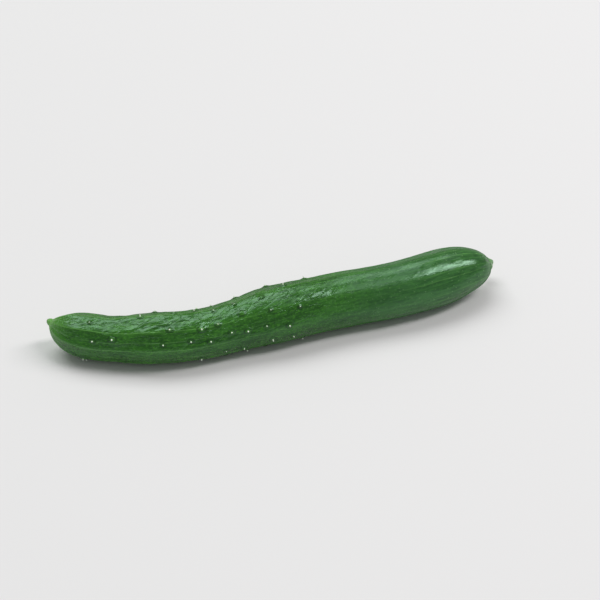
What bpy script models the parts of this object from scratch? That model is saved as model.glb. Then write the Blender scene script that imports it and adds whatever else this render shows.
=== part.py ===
"""A Japanese cucumber lying on its side, as one grown body.

The fruit follows a curved axis from the blossom tip at -X to the cut stalk at +X. The axis is level,
but lifts a little at the blossom tip, and turns away and down at the stalk. Every point of the skin is
found by formula from two numbers: the station, which is the distance along the axis from the blossom
tip, and the angle round the axis. Warts with prickles are joined on after. Lengths are worked out in
millimetres and handed to Blender in metres. +Z is up and z = 0 is the floor.
"""
import math
import random

import bmesh
import bpy
import numpy as np
from mathutils import Vector

MM = 0.001

# Axis: its length, where it starts in plan, and its heading and its dip in degrees along it
BODY_END = 217.5
STALK_LENGTH = 6.5
AXIS_LENGTH = BODY_END + STALK_LENGTH
AXIS_START = (-107.895, 8.641)
HEADINGS = ((0, -45.5), (12, -24), (30, -17.5), (55, -6.5), (80, 9), (100, 9.5), (125, 8.5), (160, 4),
            (195, 17), (210, 4), (220, 68), (224, 68))
DIPS = ((0, 18), (14, 5), (30, 2), (48, 0), (205, 0), (220, 32), (224, 32))
TURN_REACH = 14.0
AXIS_STEP = 0.5
CORNER_STEPS = 9

# Body: its radius at stations along the axis, before the ends are rounded off
GIRTHS = ((0, 10.55), (16, 10.5), (30, 10.15), (45, 11.5), (60, 11.7), (85, 11.4), (108, 13.5),
          (135, 13.1), (160, 13.0), (195, 13.8), (220, 14.2))
GIRTH_REACH = 18.0
BLOSSOM_TAPER = 22.0
BLOSSOM_POWER = 2.05
BLOSSOM_POINT = 0.6
STEM_TAPER = 44.0
STEM_POWER = 3.0
STEM_POINT = 0.5

# Blossom knob and cut stalk
KNOB_LENGTH = 2.05
KNOB_TIP = 1.0
KNOB_BASE = 1.75
KNOB_FADE = 6.0
STALK_NECK = 2.7
STALK_CUT = 3.2
STALK_FADE = 9.0
STALK_SIDES = 5
STALK_RIB = 0.28
BLEND_POWER = 4.0
ROUND_CAP = (2, 0.5)
CUT_INNER = 0.62
CUT_HOLLOW = 0.35

# Ridges, lobes and lumps of the skin, and how they fade out towards the knob and the stalk
RIDGES = 8
RIDGE_PHASE = math.radians(36)
RIDGE_TWIST = 0.0004
RIDGE_HEIGHTS = ((0, 0.52), (45, 0.42), (90, 0.3), (130, 0.16), (180, 0.12), (224, 0.2))
RIDGE_SHARPNESS = 4
RIDGE_MEAN = 0.4
LOBES = 3
LOBE_HEIGHT = 0.16
LOBE_PHASE = 0.6
LOBE_TWIST_LENGTH = 160
LUMP_HEIGHT = 0.07
LUMP_LENGTHS = (7.3, 4.6)
LUMP_SWAYS = (1.7, 2)
LUMP_PHASES = (0.4, 1.1)
LUMP_SHIFT = 2
RELIEF_RISE = 6.4
RELIEF_FALL = 8
RELIEF_END = BODY_END - 2

# Ribs of the stalk: how far before the body's end they start, and the length over which they rise
RIB_LEAD = 3
RIB_RISE = 5

# Flat spot underneath, pressed into the skin where the fruit rests
FLAT_DEPTH = 0.5

# Warts: a low bump with a prickle on top, closest together past the middle of the blossom half
WART_SEED = 3126894
WART_ROWS = 10
WART_PHASE = math.radians(19)
WART_FIRST = 15.0
WART_LAST = 126.0
WART_SPACING = ((0, 26), (45, 24), (62, 11), (80, 8.5), (95, 13), (112, 18), (130, 40))
WART_SCATTER = 0.35
WART_DRIFT = math.radians(16)
WART_SIZES = (0.75, 1.2)
BALD_SHARE = 0.25
WART_SIDES = 5
BUMP_RINGS = ((-0.9, 1.7), (0.32, 1.1), (0.55, 0.38))
PRICKLE_RING = (1.5, 0.14)
BUMP_CLOSE = 0.05
FLOOR_CLEARANCE = 0.1

# Mesh
SIDES = 40
RINGS = 76
END_CROWDING = 0.8
NORMAL_STEP = 0.5
NORMAL_TURN = 0.03
SHARP_ANGLE = math.radians(50)

SKIN_COLOUR = (0.045, 0.14, 0.035, 1.0)
SKIN_ROUGHNESS = 0.42


def clear_scene():
    for old in list(bpy.data.objects):
        bpy.data.objects.remove(old, do_unlink=True)


def new_collection(name):
    collection = bpy.data.collections.new(name)
    bpy.context.scene.collection.children.link(collection)
    return collection


def soft_line(knots, s, reach):
    """Straight lines from knot to knot, with the corners rounded off over the reach."""
    places, values = zip(*knots)
    offsets = np.linspace(-reach / 2, reach / 2, CORNER_STEPS)
    return sum(np.interp(s + offset, places, values) for offset in offsets) / len(offsets)


def smooth(x):
    x = np.clip(x, 0.0, 1.0)
    return x * x * (3 - 2 * x)


def axis_points():
    """Stations along the axis, with plan position, drop below the middle, heading and dip."""
    s = np.arange(0, AXIS_LENGTH + AXIS_STEP, AXIS_STEP)
    heading = np.radians(soft_line(HEADINGS, s, TURN_REACH))
    dip = np.radians(soft_line(DIPS, s, TURN_REACH))
    mid_heading = (heading[1:] + heading[:-1]) / 2
    mid_dip = (dip[1:] + dip[:-1]) / 2
    level_step = AXIS_STEP * np.cos(mid_dip)
    x = AXIS_START[0] + np.append(0, np.cumsum(level_step * np.cos(mid_heading)))
    y = AXIS_START[1] + np.append(0, np.cumsum(level_step * np.sin(mid_heading)))
    drop = np.append(0, np.cumsum(AXIS_STEP * np.sin(mid_dip)))
    return s, x, y, drop - drop[len(s) // 2], heading, dip


AXIS = axis_points()


def axis_frame(s):
    """Centre of the fruit at a station, and the directions along the axis, to its left and up."""
    x, y, drop, heading, dip = (np.interp(s, AXIS[0], values) for values in AXIS[1:])
    height = soft_line(GIRTHS, s, GIRTH_REACH) - FLAT_DEPTH - drop
    left = Vector((-math.sin(heading), math.cos(heading), 0))
    along = Vector((left.y * math.cos(dip), -left.x * math.cos(dip), -math.sin(dip)))
    return Vector((x, y, height)), along, left, along.cross(left)


def end_cap(distance, taper, power, point):
    """How far the radius has grown at a distance from an end: 0 at the end, 1 past the taper.
    A point of 0.5 gives a round end, and more gives a pointed one."""
    left = 1 - np.clip(distance / taper, 0, 1)
    return np.clip(1 - left ** power, 0, 1) ** point


def mean_radius(s):
    """Radius of the fruit, its knob and its stalk, before ridges and lumps."""
    body = soft_line(GIRTHS, s, GIRTH_REACH)
    body = body * end_cap(s - KNOB_LENGTH, BLOSSOM_TAPER, BLOSSOM_POWER, BLOSSOM_POINT)
    body = body * end_cap(BODY_END - s, STEM_TAPER, STEM_POWER, STEM_POINT)
    knob = KNOB_TIP + (KNOB_BASE - KNOB_TIP) * smooth(s / KNOB_LENGTH)
    knob = knob * end_cap(s, KNOB_TIP, *ROUND_CAP)
    knob = knob * smooth((KNOB_FADE - s) / (KNOB_FADE - KNOB_LENGTH))
    stalk = STALK_NECK + (STALK_CUT - STALK_NECK) * smooth((s - BODY_END) / STALK_LENGTH)
    stalk = stalk * smooth((s - BODY_END + STALK_FADE) / STALK_FADE)
    return (body ** BLEND_POWER + knob ** BLEND_POWER + stalk ** BLEND_POWER) ** (1 / BLEND_POWER)


def on_body(s):
    """1 on the fruit itself, falling to 0 on the knob and on the stalk."""
    return smooth((s - KNOB_LENGTH) / RELIEF_RISE) * smooth((RELIEF_END - s) / RELIEF_FALL)


def ridge_angle(s):
    """Turn of the ridges round the axis, which drifts a little along the fruit."""
    return RIDGE_PHASE + RIDGE_TWIST * s


def lumps(s, a):
    """Low lumps of two lengths along the fruit, which sway as they go round it."""
    long_turn = LUMP_SWAYS[0] * np.cos(a + LUMP_PHASES[0])
    short_turn = LUMP_SWAYS[1] * np.sin(2 * a + LUMP_PHASES[1])
    long_wave = np.sin(s / LUMP_LENGTHS[0] + long_turn)
    short_wave = np.sin(s / LUMP_LENGTHS[1] + short_turn + LUMP_SHIFT)
    return LUMP_HEIGHT * (long_wave + short_wave)


def relief(s, a):
    """Height of the skin over the mean radius: ridges, three soft lobes, lumps and stalk ribs."""
    crest = np.cos(RIDGES / 2 * (a - ridge_angle(s))) ** RIDGE_SHARPNESS
    ridges = soft_line(RIDGE_HEIGHTS, s, GIRTH_REACH) * (crest - RIDGE_MEAN)
    lobes = LOBE_HEIGHT * np.cos(LOBES * a + LOBE_PHASE + s / LOBE_TWIST_LENGTH)
    stalk = STALK_RIB * np.cos(STALK_SIDES * a) * smooth((s - BODY_END + RIB_LEAD) / RIB_RISE)
    return on_body(s) * (ridges + lobes + lumps(s, a)) + stalk


def skin_point(s, a):
    """Point of the skin in millimetres. The angle is 0 on the inner side of the bend, 90 deg on top."""
    centre, _, left, up = axis_frame(s)
    radius = mean_radius(s) + relief(s, a)
    point = centre + (left * math.cos(a) + up * math.sin(a)) * radius
    point.z = max(point.z, 0.0)
    return point


def skin_normal(s, a):
    along = skin_point(s + NORMAL_STEP, a) - skin_point(s - NORMAL_STEP, a)
    around = skin_point(s, a + NORMAL_TURN) - skin_point(s, a - NORMAL_TURN)
    return around.cross(along).normalized()


def cut_point(a, share):
    """Point of the stalk's cut face, at a share of its radius. The face is hollow in the middle."""
    centre, along, _, _ = axis_frame(AXIS_LENGTH)
    rim = skin_point(AXIS_LENGTH, a)
    return centre + (rim - centre) * share - along * CUT_HOLLOW * (1 - share)


def ring_station(index):
    """Station of a ring of the mesh, with rings crowded towards both ends."""
    k = index / (RINGS - 2)
    return AXIS_LENGTH * (k - END_CROWDING * math.sin(2 * math.pi * k) / (2 * math.pi))


def ball_ring(co, rings):
    """Which ring of a round ball a point is on, counted from the bottom."""
    return round(math.acos(max(-1, min(1, -co.z))) / math.pi * rings)


def shape_vertex(co):
    """Takes a point of a round ball to its place on the fruit."""
    ring = ball_ring(co, RINGS)
    angle = math.atan2(co.y, co.x)
    if ring < RINGS - 1:
        return skin_point(ring_station(ring), angle)
    return cut_point(angle, CUT_INNER if ring == RINGS - 1 else 0)


def make_body(collection, material):
    bm = bmesh.new()
    bmesh.ops.create_uvsphere(bm, u_segments=SIDES, v_segments=RINGS, radius=1)
    for vert in bm.verts:
        vert.co = shape_vertex(vert.co) * MM
    bmesh.ops.triangulate(bm, faces=bm.faces)
    bmesh.ops.recalc_face_normals(bm, faces=bm.faces)
    mesh = bpy.data.meshes.new("cucumber")
    bm.to_mesh(mesh)
    bm.free()
    mesh.materials.append(material)
    body = bpy.data.objects.new("cucumber", mesh)
    collection.objects.link(body)
    return body


def wart_spots():
    """Station, angle, size and whether it has lost its prickle, for each wart along each row."""
    rng = random.Random(WART_SEED)
    spots = []
    for row in range(WART_ROWS):
        s = WART_FIRST + rng.uniform(0, WART_SPACING[0][1])
        while s < WART_LAST:
            a = WART_PHASE + 2 * math.pi * row / WART_ROWS + rng.uniform(-WART_DRIFT, WART_DRIFT)
            size = rng.uniform(*WART_SIZES)
            bald = rng.random() < BALD_SHARE
            spots.append((s, a, size, bald))
            spacing = soft_line(WART_SPACING, s, GIRTH_REACH)
            s += spacing * rng.uniform(1 - WART_SCATTER, 1 + WART_SCATTER)
    return spots


def wart_mesh(spot, bald):
    """A wart standing on the skin at its spot, its root sunk well in."""
    s, a, size, _ = spot
    rings = BUMP_RINGS if bald else BUMP_RINGS + (PRICKLE_RING,)
    profile = ((rings[0][0], 0),) + rings + ((rings[-1][0] + BUMP_CLOSE, 0),)
    foot = skin_point(s, a)
    turn = skin_normal(s, a).to_track_quat("Z", "Y")
    bm = bmesh.new()
    bmesh.ops.create_uvsphere(bm, u_segments=WART_SIDES, v_segments=len(profile) - 1, radius=1)
    for vert in bm.verts:
        height, out = profile[ball_ring(vert.co, len(profile) - 1)]
        angle = math.atan2(vert.co.y, vert.co.x)
        local = Vector((out * math.cos(angle), out * math.sin(angle), height)) * size
        vert.co = (foot + turn @ local) * MM
    bmesh.ops.triangulate(bm, faces=bm.faces)
    mesh = bpy.data.meshes.new("wart")
    bm.to_mesh(mesh)
    bm.free()
    return mesh


def clears_floor(mesh):
    return min(vert.co.z for vert in mesh.vertices) > FLOOR_CLEARANCE * MM


def make_warts(collection):
    """One closed bump for each spot. Near the floor a wart goes without its prickle, or is left off."""
    for spot in wart_spots():
        mesh = wart_mesh(spot, spot[3])
        if not clears_floor(mesh):
            mesh = wart_mesh(spot, True)
        if clears_floor(mesh):
            collection.objects.link(bpy.data.objects.new("wart", mesh))


def join_warts(body, warts):
    """Joins the warts to the body as one closed skin, and removes them."""
    union = body.modifiers.new("warts", "BOOLEAN")
    union.operation = "UNION"
    union.operand_type = "COLLECTION"
    union.collection = warts
    union.solver = "EXACT"
    depsgraph = bpy.context.evaluated_depsgraph_get()
    joined = bpy.data.meshes.new_from_object(body.evaluated_get(depsgraph))
    body.modifiers.clear()
    body.data = joined
    for wart in list(warts.objects):
        bpy.data.objects.remove(wart, do_unlink=True)
    bpy.data.collections.remove(warts)


def skin_material():
    material = bpy.data.materials.new("cucumber_skin")
    material.use_nodes = True
    shader = material.node_tree.nodes["Principled BSDF"]
    shader.inputs["Base Color"].default_value = SKIN_COLOUR
    shader.inputs["Roughness"].default_value = SKIN_ROUGHNESS
    shader.inputs["Metallic"].default_value = 0.0
    return material


def main():
    clear_scene()
    cucumber = new_collection("japanese_cucumber")
    warts = new_collection("warts")
    body = make_body(cucumber, skin_material())
    make_warts(warts)
    join_warts(body, warts)
    body.data.name = "cucumber"
    body.data.shade_smooth()
    body.data.set_sharp_from_angle(angle=SHARP_ANGLE)


main()
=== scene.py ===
# Looks of a Japanese cucumber: its skin with ridges, warts and creases, its prickles and its cut stalk.
# Every point of the skin is found by formula from two numbers: the station, which is the distance along
# the curved axis from the blossom tip, and the angle round it. Lengths on the fruit are worked out in
# millimetres and handed to Blender in metres. The camera, the lights and the floor are in metres.

import math
import random

import bmesh
import bpy
import numpy as np
from mathutils import Matrix, Vector


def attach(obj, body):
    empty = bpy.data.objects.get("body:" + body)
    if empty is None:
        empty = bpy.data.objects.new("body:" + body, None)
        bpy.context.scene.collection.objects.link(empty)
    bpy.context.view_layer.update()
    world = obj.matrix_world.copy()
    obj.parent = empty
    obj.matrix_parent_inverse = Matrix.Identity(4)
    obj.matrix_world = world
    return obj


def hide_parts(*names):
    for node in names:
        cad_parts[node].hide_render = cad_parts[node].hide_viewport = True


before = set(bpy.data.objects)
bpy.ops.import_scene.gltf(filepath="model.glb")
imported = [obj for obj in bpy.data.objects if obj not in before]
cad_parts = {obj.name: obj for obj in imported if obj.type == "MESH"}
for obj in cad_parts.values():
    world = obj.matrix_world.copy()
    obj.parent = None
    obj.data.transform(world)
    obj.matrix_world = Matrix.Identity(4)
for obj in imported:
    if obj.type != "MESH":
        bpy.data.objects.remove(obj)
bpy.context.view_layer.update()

MM = 0.001
TURN = 2 * math.pi

# Axis: its length, where it starts in plan, and its heading and its dip in degrees along it
BODY_END = 217.5
STALK_LENGTH = 6.5
AXIS_LENGTH = BODY_END + STALK_LENGTH
AXIS_START = (-107.895, 8.641)
HEADINGS = ((0, -45.5), (12, -24), (30, -17.5), (55, -6.5), (80, 9), (100, 9.5), (125, 8.5), (160, 4),
            (195, 17), (210, 4), (220, 68), (224, 68))
DIPS = ((0, 18), (14, 5), (30, 2), (48, 0), (205, 0), (220, 32), (224, 32))
TURN_REACH = 14.0
AXIS_STEP = 0.5
CORNER_STEPS = 9

# Body: its radius at stations along the axis, before the ends are rounded off
GIRTHS = ((0, 10.55), (16, 10.5), (30, 10.15), (45, 11.5), (60, 11.7), (85, 11.4), (108, 13.5),
          (135, 13.1), (160, 13.0), (195, 13.8), (220, 14.2))
GIRTH_REACH = 18.0
BLOSSOM_TAPER = 22.0
BLOSSOM_POWER = 2.05
BLOSSOM_POINT = 0.6
STEM_TAPER = 44.0
STEM_POWER = 3.0
STEM_POINT = 0.5

# Blossom knob and cut stalk
KNOB_LENGTH = 2.05
KNOB_TIP = 1.0
KNOB_BASE = 1.75
KNOB_FADE = 6.0
STALK_NECK = 2.7
STALK_CUT = 3.2
STALK_FADE = 9.0
STALK_SIDES = 5
STALK_RIB = 0.28
BLEND_POWER = 4.0
ROUND_CAP = (2, 0.5)
CUT_STEPS = ((0.93, -0.1), (0.8, 0.03), (0.6, 0.1), (0.4, 0.15), (0.22, 0.26))
CUT_HOLLOW = 0.35

# Ridges, lobes and lumps of the skin, and how they fade out towards the knob and the stalk
RIDGES = 8
RIDGE_PHASE = math.radians(36)
RIDGE_TWIST = 0.0004
RIDGE_HEIGHTS = ((0, 0.52), (45, 0.42), (90, 0.3), (130, 0.16), (180, 0.12), (224, 0.2))
RIDGE_SHARPNESS = 4
RIDGE_MEAN = 0.4
LOBES = 3
LOBE_HEIGHT = 0.16
LOBE_PHASE = 0.6
LOBE_TWIST_LENGTH = 160
LUMP_HEIGHT = 0.07
LUMP_LENGTHS = (7.3, 4.6)
LUMP_SWAYS = (1.7, 2)
LUMP_PHASES = (0.4, 1.1)
LUMP_SHIFT = 2
RELIEF_RISE = 6.4
RELIEF_FALL = 8
RELIEF_END = BODY_END - 2

# Ribs of the stalk: how far before the body's end they start, and the length over which they rise
RIB_LEAD = 3
RIB_RISE = 5

# Flat spot underneath, pressed into the skin where the fruit rests
FLAT_DEPTH = 0.5

# Warts: where they sit, and the shape of a bump and of its prickle
WART_SEED = 3126894
WART_ROWS = 10
WART_PHASE = math.radians(19)
WART_FIRST = 15.0
WART_LAST = 126.0
WART_SPACING = ((0, 26), (45, 24), (62, 11), (80, 8.5), (95, 13), (112, 18), (130, 40))
WART_SCATTER = 0.35
WART_DRIFT = math.radians(16)
WART_SIZES = (0.75, 1.2)
BALD_SHARE = 0.25
BUMP_HEIGHT = 0.6
BUMP_RADIUS = 1.85
BUMP_STRETCH = 1.3
BUMP_POWER = 1.3
PRICKLE_SIDES = 8
PRICKLE_PROFILE = ((-0.35, 0.5), (0.35, 0.44), (0.58, 0.36), (0.9, 0.28), (1.2, 0.2), (1.42, 0.12))
PRICKLE_TIP = 1.46
PRICKLE_LENGTHS = (0.8, 1.0)
PRICKLE_LEAN = 0.16
PRICKLE_SEED = 11
FLOOR_GAP = 0.1

# Soft wrinkles: how much they turn round the axis per millimetre, and each size's length, width and height
WRINKLE_SEED = 23
WRINKLE_SKEW = 0.02
WRINKLES = ((14.0, 4.0, 0.2), (6.0, 2.2, 0.16), (2.6, 1.0, 0.09))
WRINKLE_SHARES = ((0, 0.9), (40, 1.0), (110, 1.0), (140, 0.3), (224, 0.16))

# Creases that run together at the stalk
CREASE_SEED = 5
CREASES = 17
CREASE_WIDTH = 0.07
CREASE_DEPTH = 0.2
CREASE_SCATTER = 0.3
CREASE_STRENGTHS = (0.4, 1.0)
CREASE_STARTS = (176.0, 200.0)
CREASE_END = BODY_END + 2
CREASE_FALL = 5

# Bristles on the stalk
BRISTLE_SEED = 3
BRISTLES = 30
BRISTLE_STATIONS = (BODY_END - 1.5, AXIS_LENGTH - 0.4)
BRISTLE_LENGTHS = (0.35, 0.7)
BRISTLE_RADIUS = 0.16
BRISTLE_SIDES = 5
BRISTLE_PROFILE = ((-0.3, 1.0), (0.2, 0.8), (0.7, 0.5))

# Skin mesh: rings are close together where the warts are, and wider apart on the smooth half. The last
# two are the steps along and round the skin from which its outward direction is worked out.
SKIN_SIDES = 228
WARTY_END = 136.0
WARTY_STEP = 0.48
SMOOTH_STEP = 0.9
END_STEP = 0.16
END_GROWTH = 0.07
NORMAL_STEP = 0.5
NORMAL_TURN = 0.03

# Camera, in the photograph's direction
CAMERA_AZIMUTH = math.radians(-10.5)
CAMERA_ELEVATION = math.radians(40)
CAMERA_TARGET = (0.0091, 0.00278, 0.013)
CAMERA_DISTANCE = 0.663
CAMERA_LENS = 85

# Lights: name, colour, size, distance, lean behind the vertical and to the right and roll in degrees,
# and power
LIGHTS = (("ceiling", (0.985, 1.0, 0.99), (4.2, 2.6), 4.8, 25, -15, 0, 133.0),
          ("softbox", (1.0, 0.94, 0.97), (2.05, 0.62), 3.0, 3, 38, 29, 41.0),
          ("strip", (1.0, 0.97, 0.99), (0.95, 0.18), 3.0, 34, 19, -23, 2.8))
SURROUND = (0.97, 1.0, 0.98, 1.0)
SURROUND_STRENGTH = 0.3
FLOOR_HALF = 5.0
FLOOR_CELLS = 8
FLOOR_ROUGHNESS = 0.9
FLOOR_GLOSS = 0.1


def shade(red, green, blue):
    """A colour given as screen values from 0 to 255, as the linear values that a shader takes."""
    linear = []
    for value in (red, green, blue):
        part = value / 255
        linear.append(part / 12.92 if part <= 0.04045 else ((part + 0.055) / 1.055) ** 2.4)
    return (*linear, 1.0)


DARK_GREEN = shade(32, 77, 17)
MID_GREEN = shade(54, 111, 32)
LEAF_GREEN = shade(82, 147, 47)
PALE_LINE = shade(104, 160, 82)
STEM_GREEN = shade(46, 90, 46)
STEM_LIGHT = shade(62, 112, 58)
KNOB_GREEN = shade(104, 162, 74)
SCAR_BROWN = shade(150, 142, 92)
# Dark green of the darker grain, also used as painted shade in the creases and round the feet of the warts
GRAIN_AND_SHADE_GREEN = shade(24, 54, 18)
SPECK_GREEN = shade(108, 150, 96)
# Green of the stalk, made light partly as a painted highlight
STALK_GREEN_AND_HIGHLIGHT = shade(92, 138, 80)
PRICKLE_WHITE = shade(240, 250, 234)
PRICKLE_ROOT = shade(146, 186, 128)
CUT_RIND = shade(58, 100, 42)
CUT_FLESH = shade(158, 186, 112)
CUT_PITH = shade(206, 214, 164)
FLOOR_GREY = shade(226, 226, 226)
SHEEN_TINT = (0.6, 1.0, 0.74, 1.0)

# In the materials, a size is the length of a noise's blotches in millimetres along, across and up the
# straightened fruit. A range is where a change starts and where it ends, and most have two more numbers:
# the value before the change and the value after it. A range along the fruit is in stations.

# Ground colour: large blotches and long streaks of two greens, lighter and darker grain, and the
# bluer green of the stem half
BLOTCH_SIZE = (22, 5, 5)
STREAK_SIZE = (9, 1.1, 1.1)
STREAK_DETAIL = 4
GRAIN_SIZE = (1.3, 0.7, 0.7)
TONE_RANGE = (0.36, 0.64)
LIGHT_GRAIN = (0.5, 0.72, 0, 0.55)
DARK_GRAIN = (0.48, 0.3, 0, 0.5)
STEM_HALF = (120, 175, 0, 0.75)
STEM_TONE_RANGE = (0.38, 0.62)

# Pale lines on the ridges, a soft light band under each, and thinner lines between the ridges. They
# are broken up by the streaks, and fade along the fruit, but come back a little at the stem end.
WOBBLE_SIZE = (14, 6, 6)
WOBBLE_TURN = 0.12
LINE_RANGE = (0.987, 0.9995)
HALO_RANGE = (0.2, 1.0, 0, 0.14)
THIN_LINE_RANGE = (0.98, 0.9995)
THIN_LINE_TURN = (90, 165, math.radians(20), math.radians(31))
THIN_LINE_GROWTH = (120, 180, 0.5, 1.2)
LINE_BREAKS = (0.3, 0.6, 0.45, 1)
LINE_FADE = (45, 125, 0.85, 0.12)
LINE_RETURN = (160, 200, 0, 0.25)

# Ends: the pale blossom tip with a ray from each ridge, the knob with its brown scar, and the stalk,
# whose light green is partly its own colour and partly a painted highlight on it and the shoulder's edge
TIP_FADE = (3.0, 16, 0.7, 0)
RAY_RANGE = (0.8, 0.99)
RAY_FADE = (3.0, 15, 0.6, 0)
KNOB_RANGE = (2.6, 5.5, 1, 0)
SCAR_RANGE = (0.25, 0.7, 0.8, 0)
STALK_AND_HIGHLIGHT_RANGE = (214, 218)

# Marks: painted shade in the creases at the stalk, a ring of painted shade at the foot of each wart and a
# lighter top on it, by the height of its bump, and small pale specks, mostly towards the stem end
CREASE_SHADE_SHARE = 0.7
FOOT_SHADE_OUTER = (0.01, 0.12, 0, 0.6)
FOOT_SHADE_INNER = (0.3, 0.7, 1, 0)
WART_TOP = (0.6, 1.0, 0, 0.4)
SPECK_SCALE = 0.62
SPECK_RANGE = (0.1, 0.22, 0.7, 0)
SPECK_GROWTH = (100, 170, 0.15, 1)

# Fine relief: the furrows' slant, the size of the patches between them, how far they are bent and how
# wide they are, then streaks, grain and pits. Depths are in millimetres.
SKIN_SLANT = math.radians(20)
CRACKLE_SIZE = (11.0, 3.0, 3.0)
CRACKLE_BEND_SIZE = (7, 3, 3)
CRACKLE_BEND = 1.6
CRACKLE_RANGE = (0.0, 0.12)
CRACKLE_DEPTH = (105, 150, 0.09, 0.012)
RELIEF_STREAK_SIZE = (7, 1.3, 1.3)
RELIEF_STREAK_DEPTH = (100, 150, 0.105, 0.045)
RELIEF_GRAIN_SIZE = (1.1, 0.55, 0.55)
RELIEF_GRAIN_DEPTH = (45, 75, 0.05, 0.018)
PIT_SIZE = (0.35, 0.3, 0.3)
PIT_DEPTH = 0.008

# Gloss: roughness along the fruit, its drop on the shoulder, its change from patch to patch, and its
# rise where the skin is seen at a low angle
SKIN_IOR = 1.54
ROUGHNESS_RANGE = (100, 145, 0.2, 0.28)
SHOULDER_GLOSS = (160, 190, 0, -0.14)
PATCH_SIZE = (9, 2.6, 2.6)
PATCH_GLOSS = (0.43, 0.59, -0.07, 0.1)
RIM_BLEND = 0.5
RIM_RANGE = (0.55, 0.88, 0, 0.55)

# Cut face of the stalk: pith, a ring of pale bundles, fibres and the rind, by the distance from its middle
FIBRE_SIZE = (1, 0.28, 0.28)
FIBRE_DETAIL = 4
FIBRE_RANGE = (0.45, 0.7, 0, 0.6)
FIBRE_DEPTH = 0.15
PITH_RANGE = (0.5, 1.4)
BUNDLES = 10.0
BUNDLE_RANGE = (0.2, 0.9, 0, 0.5)
BUNDLE_RING = (1.2, 1.8)
RIND_RANGE = (2.3, 2.9)
CUT_ROUGHNESS = 0.6

# Prickles and bristles: green at the root and white towards the tip, with faint green grain, whose size
# is in metres
PRICKLE_RISE = (0.2, 0.6)
PRICKLE_GRAIN_SIZE = (0.0003, 0.0003, 0.0003)
PRICKLE_GRAIN = (0.5, 0.8, 0, 0.3)
PRICKLE_ROUGHNESS = 0.35


def soft_line(knots, s, reach):
    """Straight lines from knot to knot, with the corners rounded off over the reach."""
    places, values = zip(*knots)
    offsets = np.linspace(-reach / 2, reach / 2, CORNER_STEPS)
    return sum(np.interp(s + offset, places, values) for offset in offsets) / len(offsets)


def smooth(x):
    x = np.clip(x, 0.0, 1.0)
    return x * x * (3 - 2 * x)


def axis_points():
    """Stations along the axis, with plan position, drop below the middle, heading and dip."""
    s = np.arange(0, AXIS_LENGTH + AXIS_STEP, AXIS_STEP)
    heading = np.radians(soft_line(HEADINGS, s, TURN_REACH))
    dip = np.radians(soft_line(DIPS, s, TURN_REACH))
    mid_heading = (heading[1:] + heading[:-1]) / 2
    mid_dip = (dip[1:] + dip[:-1]) / 2
    level_step = AXIS_STEP * np.cos(mid_dip)
    x = AXIS_START[0] + np.append(0, np.cumsum(level_step * np.cos(mid_heading)))
    y = AXIS_START[1] + np.append(0, np.cumsum(level_step * np.sin(mid_heading)))
    drop = np.append(0, np.cumsum(AXIS_STEP * np.sin(mid_dip)))
    return s, x, y, drop - drop[len(s) // 2], heading, dip


AXIS = axis_points()


def axis_frame(s):
    """Centres of the fruit at stations, and the directions along the axis, to its left and up."""
    x, y, drop, heading, dip = (np.interp(s, AXIS[0], values) for values in AXIS[1:])
    height = soft_line(GIRTHS, s, GIRTH_REACH) - FLAT_DEPTH - drop
    centre = np.stack([x, y, height], -1)
    left = np.stack([-np.sin(heading), np.cos(heading), np.zeros_like(heading)], -1)
    level = np.stack([np.cos(heading), np.sin(heading), np.zeros_like(heading)], -1)
    along = level * np.cos(dip)[..., None]
    along[..., 2] = -np.sin(dip)
    return centre, along, left, np.cross(along, left)


def end_cap(distance, taper, power, point):
    """How far the radius has grown at a distance from an end: 0 at the end, 1 past the taper.
    A point of 0.5 gives a round end, and more gives a pointed one."""
    left = 1 - np.clip(distance / taper, 0, 1)
    return np.clip(1 - left ** power, 0, 1) ** point


def mean_radius(s):
    """Radius of the fruit, its knob and its stalk, before ridges and lumps."""
    body = soft_line(GIRTHS, s, GIRTH_REACH)
    body = body * end_cap(s - KNOB_LENGTH, BLOSSOM_TAPER, BLOSSOM_POWER, BLOSSOM_POINT)
    body = body * end_cap(BODY_END - s, STEM_TAPER, STEM_POWER, STEM_POINT)
    knob = KNOB_TIP + (KNOB_BASE - KNOB_TIP) * smooth(s / KNOB_LENGTH)
    knob = knob * end_cap(s, KNOB_TIP, *ROUND_CAP)
    knob = knob * smooth((KNOB_FADE - s) / (KNOB_FADE - KNOB_LENGTH))
    stalk = STALK_NECK + (STALK_CUT - STALK_NECK) * smooth((s - BODY_END) / STALK_LENGTH)
    stalk = stalk * smooth((s - BODY_END + STALK_FADE) / STALK_FADE)
    return (body ** BLEND_POWER + knob ** BLEND_POWER + stalk ** BLEND_POWER) ** (1 / BLEND_POWER)


def on_body(s):
    """1 on the fruit itself, falling to 0 on the knob and on the stalk."""
    return smooth((s - KNOB_LENGTH) / RELIEF_RISE) * smooth((RELIEF_END - s) / RELIEF_FALL)


def ridge_angle(s):
    """Turn of the ridges round the axis, which drifts a little along the fruit."""
    return RIDGE_PHASE + RIDGE_TWIST * s


def lumps(s, a):
    """Low lumps of two lengths along the fruit, which sway as they go round it."""
    long_turn = LUMP_SWAYS[0] * np.cos(a + LUMP_PHASES[0])
    short_turn = LUMP_SWAYS[1] * np.sin(2 * a + LUMP_PHASES[1])
    long_wave = np.sin(s / LUMP_LENGTHS[0] + long_turn)
    short_wave = np.sin(s / LUMP_LENGTHS[1] + short_turn + LUMP_SHIFT)
    return LUMP_HEIGHT * (long_wave + short_wave)


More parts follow.
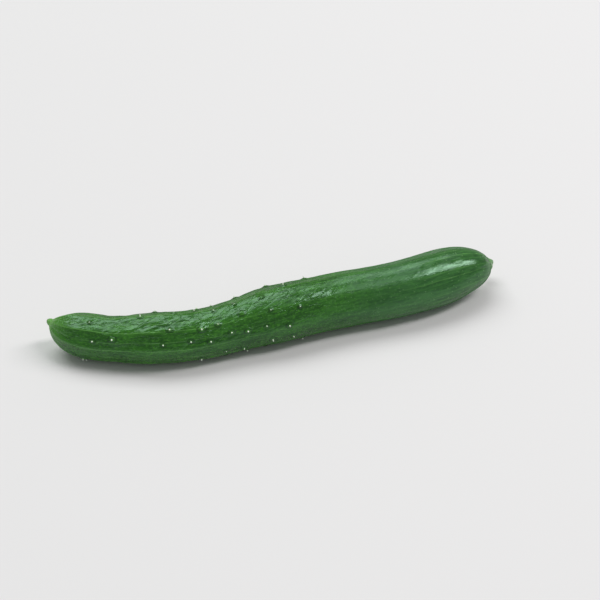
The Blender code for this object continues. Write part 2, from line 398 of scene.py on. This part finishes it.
def relief(s, a):
    """Height of the skin over the mean radius: ridges, three soft lobes, lumps and stalk ribs."""
    crest = np.cos(RIDGES / 2 * (a - ridge_angle(s))) ** RIDGE_SHARPNESS
    ridges = soft_line(RIDGE_HEIGHTS, s, GIRTH_REACH) * (crest - RIDGE_MEAN)
    lobes = LOBE_HEIGHT * np.cos(LOBES * a + LOBE_PHASE + s / LOBE_TWIST_LENGTH)
    stalk = STALK_RIB * np.cos(STALK_SIDES * a) * smooth((s - BODY_END + RIB_LEAD) / RIB_RISE)
    return on_body(s) * (ridges + lobes + lumps(s, a)) + stalk


def wart_spots():
    """Station, angle, size and whether it has lost its prickle, for each wart along each row."""
    rng = random.Random(WART_SEED)
    spots = []
    for row in range(WART_ROWS):
        s = WART_FIRST + rng.uniform(0, WART_SPACING[0][1])
        while s < WART_LAST:
            a = WART_PHASE + TURN * row / WART_ROWS + rng.uniform(-WART_DRIFT, WART_DRIFT)
            size = rng.uniform(*WART_SIZES)
            bald = rng.random() < BALD_SHARE
            spots.append((s, a, size, bald))
            spacing = soft_line(WART_SPACING, s, GIRTH_REACH)
            s += spacing * rng.uniform(1 - WART_SCATTER, 1 + WART_SCATTER)
    return spots


def turned(a, centre):
    """Angle from a centre, between minus and plus half a turn."""
    return (a - centre + math.pi) % TURN - math.pi


def wart_height(s, a):
    """Height that the warts' bumps add to the skin."""
    height = np.zeros_like(s)
    radius = mean_radius(s)
    for place, angle, size, _ in wart_spots():
        along = (s - place) / BUMP_STRETCH
        distance = np.hypot(along, turned(a, angle) * radius) / (BUMP_RADIUS * size)
        height += BUMP_HEIGHT * size * smooth(1 - distance) ** BUMP_POWER
    return height


def wrinkle_height(s, a):
    """Height of the soft wrinkles: seeded random heights on a grid, blended smoothly between its points."""
    rng = np.random.RandomState(WRINKLE_SEED)
    height = np.zeros_like(s)
    skewed = a + WRINKLE_SKEW * np.minimum(s, WARTY_END)
    for length, width, rise in WRINKLES:
        around = round(TURN * GIRTHS[0][1] / width)
        grid = rng.uniform(-1, 1, (int(AXIS_LENGTH / length) + 3, around))
        row = s / length
        column = (skewed % TURN) / TURN * around
        i = row.astype(int)
        j = column.astype(int) % around
        u = smooth(row - i)
        v = smooth(column - column.astype(int))
        k = (j + 1) % around
        near = grid[i, j] * (1 - v) + grid[i, k] * v
        far = grid[i + 1, j] * (1 - v) + grid[i + 1, k] * v
        height += rise * (near * (1 - u) + far * u)
    return height * soft_line(WRINKLE_SHARES, s, GIRTH_REACH) * on_body(s)


def crease_depth(s, a):
    """Depth of the creases round the shoulder, deepest next to the stalk."""
    rng = random.Random(CREASE_SEED)
    depth = np.zeros_like(s)
    for index in range(CREASES):
        angle = TURN * (index + rng.uniform(-CREASE_SCATTER, CREASE_SCATTER)) / CREASES
        start = rng.uniform(*CREASE_STARTS)
        strength = rng.uniform(*CREASE_STRENGTHS)
        across = np.exp(-(turned(a, angle) / CREASE_WIDTH) ** 2)
        reach = smooth((s - start) / (BODY_END - start)) * smooth((CREASE_END - s) / CREASE_FALL)
        depth = np.maximum(depth, strength * across * reach)
    return depth


def skin_points(s, a, extra=0.0):
    """Points of the skin in millimetres, raised by an extra height, and never below the floor."""
    centre, _, left, up = axis_frame(s)
    radius = (mean_radius(s) + relief(s, a) + extra)[..., None]
    points = centre + radius * (np.cos(a)[..., None] * left + np.sin(a)[..., None] * up)
    points[..., 2] = np.maximum(points[..., 2], 0.0)
    return points


def skin_spot(s, a):
    """One point of the skin and its outward direction."""
    steps = np.array([0, NORMAL_STEP, -NORMAL_STEP, 0, 0])
    turns = np.array([0, 0, 0, NORMAL_TURN, -NORMAL_TURN])
    points = skin_points(s + steps, a + turns)
    outward = np.cross(points[3] - points[4], points[1] - points[2])
    return Vector(points[0]), Vector(outward).normalized()


def ring_stations():
    """Stations of the skin's rings: fine at both ends, medium where the warts are, wide elsewhere."""
    stations = [0.0]
    while stations[-1] < AXIS_LENGTH:
        s = stations[-1]
        step = WARTY_STEP if s < WARTY_END else SMOOTH_STEP
        from_end = min(s, abs(BODY_END - s))
        stations.append(s + min(step, END_STEP + from_end * END_GROWTH))
    return np.array(stations[1:-1] + [AXIS_LENGTH])


def closed_faces(rings, sides):
    """Faces of a closed form of rings, with a fan of triangles at its first and at its last point."""
    faces = []
    last = 1 + rings * sides
    for j in range(sides):
        k = (j + 1) % sides
        faces.append((0, 1 + k, 1 + j))
        faces.append((last - sides + j, last - sides + k, last))
        for row in range(1, last - sides, sides):
            faces.append((row + j, row + k, row + sides + k, row + sides + j))
    return faces


def new_piece(name, points, faces, material):
    mesh = bpy.data.meshes.new(name)
    mesh.from_pydata((np.asarray(points) * MM).tolist(), [], faces)
    mesh.shade_smooth()
    mesh.materials.append(material)
    piece = bpy.data.objects.new(name, mesh)
    bpy.context.scene.collection.objects.link(piece)
    return piece


def store(mesh, name, values):
    """Keeps a number, or a vector, for each point of a mesh, for its material to read."""
    kind, field = ("FLOAT", "value") if values.ndim == 1 else ("FLOAT_VECTOR", "vector")
    attribute = mesh.attributes.new(name, kind, "POINT")
    attribute.data.foreach_set(field, values.astype(np.float32).ravel())


def make_skin(skin_material, cut_material):
    """The whole outside as one closed mesh of rings, from the tip of the knob to the middle of the cut."""
    stations = ring_stations()
    angles = np.arange(SKIN_SIDES) * TURN / SKIN_SIDES
    s, a = np.meshgrid(stations, angles, indexing="ij")
    bump = wart_height(s, a)
    crease_and_shade = crease_depth(s, a)
    rings = skin_points(s, a, bump + wrinkle_height(s, a) - CREASE_DEPTH * crease_and_shade)
    centre, along, _, _ = axis_frame(np.array([AXIS_LENGTH]))
    rim = rings[-1]
    cut = [centre[0] + (rim - centre[0]) * share - along[0] * depth for share, depth in CUT_STEPS]
    tip = skin_points(np.array([0.0]), np.array([0.0]))
    middle = centre - along * CUT_HOLLOW
    points = np.concatenate([tip, rings.reshape(-1, 3), *cut, middle])

    radius = mean_radius(s) + relief(s, a)
    straight = np.stack([s, radius * np.cos(a), radius * np.sin(a)], -1)
    cut_straight = [straight[-1] * np.array([1, share, share]) for share, _ in CUT_STEPS]
    straight = np.concatenate([np.zeros((1, 3)), straight.reshape(-1, 3), *cut_straight,
                               np.array([[AXIS_LENGTH, 0, 0]])])
    beyond = np.zeros(len(CUT_STEPS) * SKIN_SIDES + 1)
    faces = closed_faces(len(stations) + len(CUT_STEPS), SKIN_SIDES)
    skin = new_piece("skin", points, faces, skin_material)
    skin.data.materials.append(cut_material)
    store(skin.data, "straight", straight)
    store(skin.data, "wart", np.concatenate([[0], bump.ravel() / BUMP_HEIGHT, beyond]))
    # The creases' depth also serves as the mask of the painted shade in them
    store(skin.data, "crease_and_shade", np.concatenate([[0], crease_and_shade.ravel(), beyond]))
    first_cut = 1 + (len(stations) - 1) * SKIN_SIDES
    for face in skin.data.polygons:
        if min(face.vertices) >= first_cut:
            face.material_index = 1
    return skin


def spike(foot, direction, profile, tip, sides, bend):
    """Rings of a small round spike on the skin, from its sunk root to its tip, leaning over by the bend."""
    turn = direction.to_track_quat("Z", "Y")
    points = [foot + turn @ Vector((0, 0, profile[0][0]))]
    for height, radius in profile:
        sway = bend * max(height, 0) ** 2
        for j in range(sides):
            angle = TURN * j / sides
            local = Vector((radius * math.cos(angle) + sway.x, radius * math.sin(angle) + sway.y, height))
            points.append(foot + turn @ local)
    sway = bend * tip ** 2
    points.append(foot + turn @ Vector((sway.x, sway.y, tip)))
    return points


def make_spikes(name, material, parts, rings, sides):
    """Many closed spikes as one piece. Each keeps how far up it every point is."""
    points, faces, rise = [], [], []
    one = closed_faces(rings, sides)
    height = np.concatenate([[0], np.repeat(np.linspace(0, 1, rings), sides), [1]])
    for part in parts:
        faces += [tuple(index + len(points) for index in face) for face in one]
        points += part
        rise.append(height)
    piece = new_piece(name, points, faces, material)
    store(piece.data, "rise", np.concatenate(rise))
    return piece


def make_prickles(material):
    rng = random.Random(PRICKLE_SEED)
    parts = []
    for s, a, size, bald in wart_spots():
        bend = Vector((rng.uniform(-1, 1), rng.uniform(-1, 1))) * PRICKLE_LEAN
        length = rng.uniform(*PRICKLE_LENGTHS)
        foot, direction = skin_spot(s, a)
        reach = foot + direction * PRICKLE_TIP * size
        if bald or reach.z < PRICKLE_PROFILE[0][1] + FLOOR_GAP:
            continue
        profile = [(height * size * length, radius * size) for height, radius in PRICKLE_PROFILE]
        parts.append(spike(foot, direction, profile, PRICKLE_TIP * size * length, PRICKLE_SIDES, bend))
    return make_spikes("prickles", material, parts, len(PRICKLE_PROFILE), PRICKLE_SIDES)


def make_bristles(material):
    """Short pale bristles round the stalk."""
    rng = random.Random(BRISTLE_SEED)
    parts = []
    for _ in range(BRISTLES):
        s = rng.uniform(*BRISTLE_STATIONS)
        a = rng.uniform(0, TURN)
        length = rng.uniform(*BRISTLE_LENGTHS)
        bend = Vector((rng.uniform(-1, 1), rng.uniform(-1, 1))) * PRICKLE_LEAN
        foot, direction = skin_spot(s, a)
        profile = [(height * length, share * BRISTLE_RADIUS) for height, share in BRISTLE_PROFILE]
        parts.append(spike(foot, direction, profile, length, BRISTLE_SIDES, bend))
    return make_spikes("stalk_bristles", material, parts, len(BRISTLE_PROFILE), BRISTLE_SIDES)


def add(tree, kind, inputs=None, **settings):
    """A new shader node. An input is a fixed value, or the output of another node."""
    made = tree.nodes.new(kind)
    for name, value in settings.items():
        setattr(made, name, value)
    for name, value in (inputs or {}).items():
        if isinstance(value, bpy.types.NodeSocket):
            tree.links.new(value, made.inputs[name])
        else:
            made.inputs[name].default_value = value
    return made


def maths(tree, operation, first, second=0.0):
    return add(tree, "ShaderNodeMath", {0: first, 1: second}, operation=operation).outputs[0]


def times(tree, first, second):
    return maths(tree, "MULTIPLY", first, second)


def plus(tree, first, second):
    return maths(tree, "ADD", first, second)


def between(tree, value, low, high, start=0.0, end=1.0):
    """A smooth change from the start to the end as the value goes from low to high."""
    inputs = {"Value": value, "From Min": low, "From Max": high, "To Min": start, "To Max": end}
    return add(tree, "ShaderNodeMapRange", inputs, interpolation_type="SMOOTHSTEP").outputs[0]


def mixed(tree, share, first, second):
    """A colour between two colours, at a share from 0 to 1."""
    node = add(tree, "ShaderNodeMix", {0: share}, data_type="RGBA")
    for socket, value in ((node.inputs[6], first), (node.inputs[7], second)):
        if isinstance(value, bpy.types.NodeSocket):
            tree.links.new(value, socket)
        else:
            socket.default_value = value
    return node.outputs[2]


def attribute(tree, name, output):
    """A value that the mesh keeps for each point."""
    return add(tree, "ShaderNodeAttribute", attribute_name=name).outputs[output]


def bump_normal(tree, shader, height):
    """Makes a height in millimetres show as relief."""
    bump = add(tree, "ShaderNodeBump", {"Height": height, "Distance": MM})
    tree.links.new(bump.outputs[0], shader.inputs["Normal"])


def around_axis(tree, place):
    """The station, the two distances from the axis and the angle round it, on the straightened fruit."""
    parts = add(tree, "ShaderNodeSeparateXYZ", {0: place}).outputs
    return parts[0], parts[1], parts[2], maths(tree, "ARCTAN2", parts[2], parts[1])


def noise(tree, place, size, detail=3.0, roughness=0.55):
    """Soft noise from 0 to 1, whose blotches measure the size along, across and up."""
    scale = tuple(1 / length for length in size)
    scaled = add(tree, "ShaderNodeVectorMath", {0: place, 1: scale}, operation="MULTIPLY").outputs[0]
    inputs = {"Vector": scaled, "Scale": 1.0, "Detail": detail, "Roughness": roughness}
    return add(tree, "ShaderNodeTexNoise", inputs).outputs[0]


def swing(tree, place, size, amount, detail=3.0):
    """Soft noise that swings to either side of 0, by up to half the amount."""
    return times(tree, maths(tree, "SUBTRACT", noise(tree, place, size, detail), 0.5), amount)


def new_material(name):
    material = bpy.data.materials.new(name)
    material.use_nodes = True
    tree = material.node_tree
    return material, tree, tree.nodes["Principled BSDF"]


def ridge_wave(tree, station, angle, turn_by):
    """A wave round the fruit that is 1 along the top of each ridge and -1 halfway between two."""
    drift = times(tree, station, RIDGE_TWIST)
    turn = maths(tree, "SUBTRACT", maths(tree, "SUBTRACT", angle, RIDGE_PHASE), drift)
    turn = plus(tree, turn, turn_by)
    return maths(tree, "COSINE", times(tree, turn, RIDGES))


def ground_colour(tree, place, station, streak):
    """Greens of the skin before any line or mark."""
    blotch = noise(tree, place, BLOTCH_SIZE)
    grain = noise(tree, place, GRAIN_SIZE)
    tone = plus(tree, times(tree, blotch, 0.5), times(tree, streak, 0.5))
    colour = mixed(tree, between(tree, tone, *TONE_RANGE), DARK_GREEN, MID_GREEN)
    colour = mixed(tree, between(tree, grain, *LIGHT_GRAIN), colour, LEAF_GREEN)
    colour = mixed(tree, between(tree, grain, *DARK_GRAIN), colour, GRAIN_AND_SHADE_GREEN)
    stem_tone = mixed(tree, between(tree, streak, *STEM_TONE_RANGE), STEM_GREEN, STEM_LIGHT)
    return mixed(tree, between(tree, station, *STEM_HALF), colour, stem_tone)


def with_lines(tree, colour, station, angle, streak, wobble, wave):
    """Adds the pale lines along the fruit."""
    thin_turn = plus(tree, wobble, between(tree, station, *THIN_LINE_TURN))
    thin_wave = ridge_wave(tree, station, angle, thin_turn)
    fade = plus(tree, between(tree, station, *LINE_FADE), between(tree, station, *LINE_RETURN))
    broken = times(tree, between(tree, streak, *LINE_BREAKS), fade)
    line = times(tree, between(tree, wave, *LINE_RANGE), broken)
    halo = times(tree, between(tree, wave, *HALO_RANGE), fade)
    thin_line = times(tree, between(tree, thin_wave, *THIN_LINE_RANGE), broken)
    thin_line = times(tree, thin_line, between(tree, station, *THIN_LINE_GROWTH))
    colour = mixed(tree, halo, colour, LEAF_GREEN)
    colour = mixed(tree, line, colour, PALE_LINE)
    return mixed(tree, thin_line, colour, PALE_LINE)


def with_ends(tree, colour, station, wave):
    """Adds the blossom tip with its rays, the knob with its scar, and the stalk, partly a painted
    highlight.
    """
    colour = mixed(tree, between(tree, station, *TIP_FADE), colour, LEAF_GREEN)
    ray = times(tree, between(tree, wave, *RAY_RANGE), between(tree, station, *RAY_FADE))
    colour = mixed(tree, ray, colour, PALE_LINE)
    colour = mixed(tree, between(tree, station, *KNOB_RANGE), colour, KNOB_GREEN)
    colour = mixed(tree, between(tree, station, *SCAR_RANGE), colour, SCAR_BROWN)
    # The stalk and the last millimetres of the shoulder: the stalk's green, partly a painted highlight
    return mixed(tree, between(tree, station, *STALK_AND_HIGHLIGHT_RANGE), colour, STALK_GREEN_AND_HIGHLIGHT)


def with_marks(tree, colour, place, station):
    """Adds painted shade in the creases and round the foot of each wart, the lighter tops of the warts, and
    the specks.
    """
    # Painted shade in the creases, darkest where they are deepest
    crease_and_shade = attribute(tree, "crease_and_shade", "Fac")
    colour = mixed(tree, times(tree, crease_and_shade, CREASE_SHADE_SHARE), colour, GRAIN_AND_SHADE_GREEN)
    wart = attribute(tree, "wart", "Fac")
    # Painted shade in a ring round the foot of each wart
    ring = times(tree, between(tree, wart, *FOOT_SHADE_OUTER), between(tree, wart, *FOOT_SHADE_INNER))
    colour = mixed(tree, ring, colour, GRAIN_AND_SHADE_GREEN)
    colour = mixed(tree, between(tree, wart, *WART_TOP), colour, LEAF_GREEN)
    cells = add(tree, "ShaderNodeTexVoronoi", {"Vector": place, "Scale": SPECK_SCALE}, feature="F1")
    speck = between(tree, cells.outputs["Distance"], *SPECK_RANGE)
    speck = times(tree, speck, between(tree, station, *SPECK_GROWTH))
    return mixed(tree, speck, colour, SPECK_GREEN)


def skin_colour(tree, place, station, angle):
    streak = noise(tree, place, STREAK_SIZE, STREAK_DETAIL)
    wobble = swing(tree, place, WOBBLE_SIZE, WOBBLE_TURN)
    wave = ridge_wave(tree, station, angle, wobble)
    colour = ground_colour(tree, place, station, streak)
    colour = with_lines(tree, colour, station, angle, streak, wobble, wave)
    colour = with_ends(tree, colour, station, wave)
    return with_marks(tree, colour, place, station)


def slanted(tree, place):
    """The place on the straightened fruit, turned so that long blotches lie at a slant to the axis."""
    inputs = {"Vector": place, "Rotation": (0, 0, SKIN_SLANT)}
    return add(tree, "ShaderNodeMapping", inputs, vector_type="TEXTURE").outputs[0]


def crackle(tree, place):
    """1 on small flat patches of the skin, falling to 0 in the thin crooked furrows between them."""
    inputs = {"Vector": slanted(tree, place), "Scale": CRACKLE_SIZE}
    scaled = add(tree, "ShaderNodeMapping", inputs, vector_type="TEXTURE").outputs[0]
    bend = swing(tree, place, CRACKLE_BEND_SIZE, CRACKLE_BEND, 2)
    bent = add(tree, "ShaderNodeVectorMath", {0: scaled, 1: bend}, operation="ADD").outputs[0]
    edge = add(tree, "ShaderNodeTexVoronoi", {"Vector": bent, "Scale": 1.0}, feature="DISTANCE_TO_EDGE")
    return between(tree, edge.outputs["Distance"], *CRACKLE_RANGE)


def skin_relief(tree, place, station):
    """Height of the finest relief in millimetres: streaks, furrows, grain and faint pits."""
    streak = noise(tree, place, RELIEF_STREAK_SIZE)
    grain = noise(tree, place, RELIEF_GRAIN_SIZE)
    pits = noise(tree, place, PIT_SIZE, 2)
    height = times(tree, streak, between(tree, station, *RELIEF_STREAK_DEPTH))
    furrows = times(tree, crackle(tree, place), between(tree, station, *CRACKLE_DEPTH))
    height = plus(tree, height, furrows)
    height = plus(tree, height, times(tree, grain, between(tree, station, *RELIEF_GRAIN_DEPTH)))
    return plus(tree, height, times(tree, pits, PIT_DEPTH))


def skin_roughness(tree, place, station):
    patch = noise(tree, slanted(tree, place), PATCH_SIZE)
    rough = between(tree, station, *ROUGHNESS_RANGE)
    rough = plus(tree, rough, between(tree, station, *SHOULDER_GLOSS))
    rough = plus(tree, rough, between(tree, patch, *PATCH_GLOSS))
    rim = add(tree, "ShaderNodeLayerWeight", {"Blend": RIM_BLEND}).outputs["Facing"]
    return plus(tree, rough, between(tree, rim, *RIM_RANGE))


def make_skin_material():
    material, tree, shader = new_material("cucumber_skin")
    place = attribute(tree, "straight", "Vector")
    station, _, _, angle = around_axis(tree, place)
    tree.links.new(skin_colour(tree, place, station, angle), shader.inputs["Base Color"])
    tree.links.new(skin_roughness(tree, place, station), shader.inputs["Roughness"])
    bump_normal(tree, shader, skin_relief(tree, place, station))
    shader.inputs["Specular Tint"].default_value = SHEEN_TINT
    shader.inputs["IOR"].default_value = SKIN_IOR
    return material


def make_cut_material():
    """The stalk's cut face: a dark rind, pale fibrous flesh and a paler pith."""
    material, tree, shader = new_material("stalk_cut")
    place = attribute(tree, "straight", "Vector")
    _, across, up, angle = around_axis(tree, place)
    squares = plus(tree, maths(tree, "POWER", across, 2.0), maths(tree, "POWER", up, 2.0))
    radius = maths(tree, "SQRT", squares)
    fibre = noise(tree, place, FIBRE_SIZE, FIBRE_DETAIL)
    bundle = maths(tree, "COSINE", times(tree, angle, BUNDLES))
    colour = mixed(tree, between(tree, radius, *PITH_RANGE), CUT_PITH, CUT_FLESH)
    colour = mixed(tree, between(tree, fibre, *FIBRE_RANGE), colour, CUT_RIND)
    ring = times(tree, between(tree, bundle, *BUNDLE_RANGE), between(tree, radius, *BUNDLE_RING))
    colour = mixed(tree, ring, colour, CUT_PITH)
    colour = mixed(tree, between(tree, radius, *RIND_RANGE), colour, CUT_RIND)
    tree.links.new(colour, shader.inputs["Base Color"])
    shader.inputs["Roughness"].default_value = CUT_ROUGHNESS
    bump_normal(tree, shader, times(tree, fibre, FIBRE_DEPTH))
    return material


def make_prickle_material():
    material, tree, shader = new_material("prickle")
    rise = attribute(tree, "rise", "Fac")
    grain = noise(tree, add(tree, "ShaderNodeTexCoord").outputs["Object"], PRICKLE_GRAIN_SIZE, 2)
    colour = mixed(tree, between(tree, rise, *PRICKLE_RISE), PRICKLE_ROOT, PRICKLE_WHITE)
    colour = mixed(tree, between(tree, grain, *PRICKLE_GRAIN), colour, PRICKLE_ROOT)
    tree.links.new(colour, shader.inputs["Base Color"])
    shader.inputs["Roughness"].default_value = PRICKLE_ROUGHNESS
    return material


def make_floor():
    material, tree, shader = new_material("floor")
    shader.inputs["Base Color"].default_value = FLOOR_GREY
    shader.inputs["Roughness"].default_value = FLOOR_ROUGHNESS
    shader.inputs["Specular IOR Level"].default_value = FLOOR_GLOSS
    bm = bmesh.new()
    bmesh.ops.create_grid(bm, x_segments=FLOOR_CELLS, y_segments=FLOOR_CELLS, size=FLOOR_HALF)
    mesh = bpy.data.meshes.new("floor")
    bm.to_mesh(mesh)
    bm.free()
    mesh.materials.append(material)
    floor = bpy.data.objects.new("floor", mesh)
    bpy.context.scene.collection.objects.link(floor)


def make_light(name, colour, size, distance, behind, sideways, roll, power):
    """A soft rectangular light, aimed at the fruit."""
    data = bpy.data.lights.new(name, "AREA")
    data.color = colour
    data.shape = "RECTANGLE"
    data.size, data.size_y = size
    data.energy = power
    light = bpy.data.objects.new(name, data)
    place = Matrix.Rotation(CAMERA_AZIMUTH, 4, "Z")
    for angle, direction in ((-behind, "X"), (sideways, "Y"), (roll, "Z")):
        place = place @ Matrix.Rotation(math.radians(angle), 4, direction)
    light.matrix_world = place @ Matrix.Translation((0, 0, distance))
    bpy.context.scene.collection.objects.link(light)


def make_surround():
    world = bpy.data.worlds.new("surround")
    world.use_nodes = True
    background = world.node_tree.nodes["Background"]
    background.inputs["Color"].default_value = SURROUND
    background.inputs["Strength"].default_value = SURROUND_STRENGTH
    bpy.context.scene.world = world


def make_camera():
    data = bpy.data.cameras.new("camera")
    data.lens = CAMERA_LENS
    camera = bpy.data.objects.new("camera", data)
    level = Vector((math.sin(CAMERA_AZIMUTH), -math.cos(CAMERA_AZIMUTH), 0))
    back = level * math.cos(CAMERA_ELEVATION) + Vector((0, 0, math.sin(CAMERA_ELEVATION)))
    camera.location = Vector(CAMERA_TARGET) + back * CAMERA_DISTANCE
    camera.rotation_euler = back.to_track_quat("Z", "Y").to_euler()
    bpy.context.scene.collection.objects.link(camera)
    bpy.context.scene.camera = camera


prickle_material = make_prickle_material()
pieces = [make_skin(make_skin_material(), make_cut_material())]
pieces.append(make_prickles(prickle_material))
pieces.append(make_bristles(prickle_material))
for piece in pieces:
    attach(piece, "root")
    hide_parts("cucumber")
make_floor()
for light in LIGHTS:
    make_light(*light)
make_surround()
make_camera()
bpy.context.scene.view_settings.view_transform = "Standard"
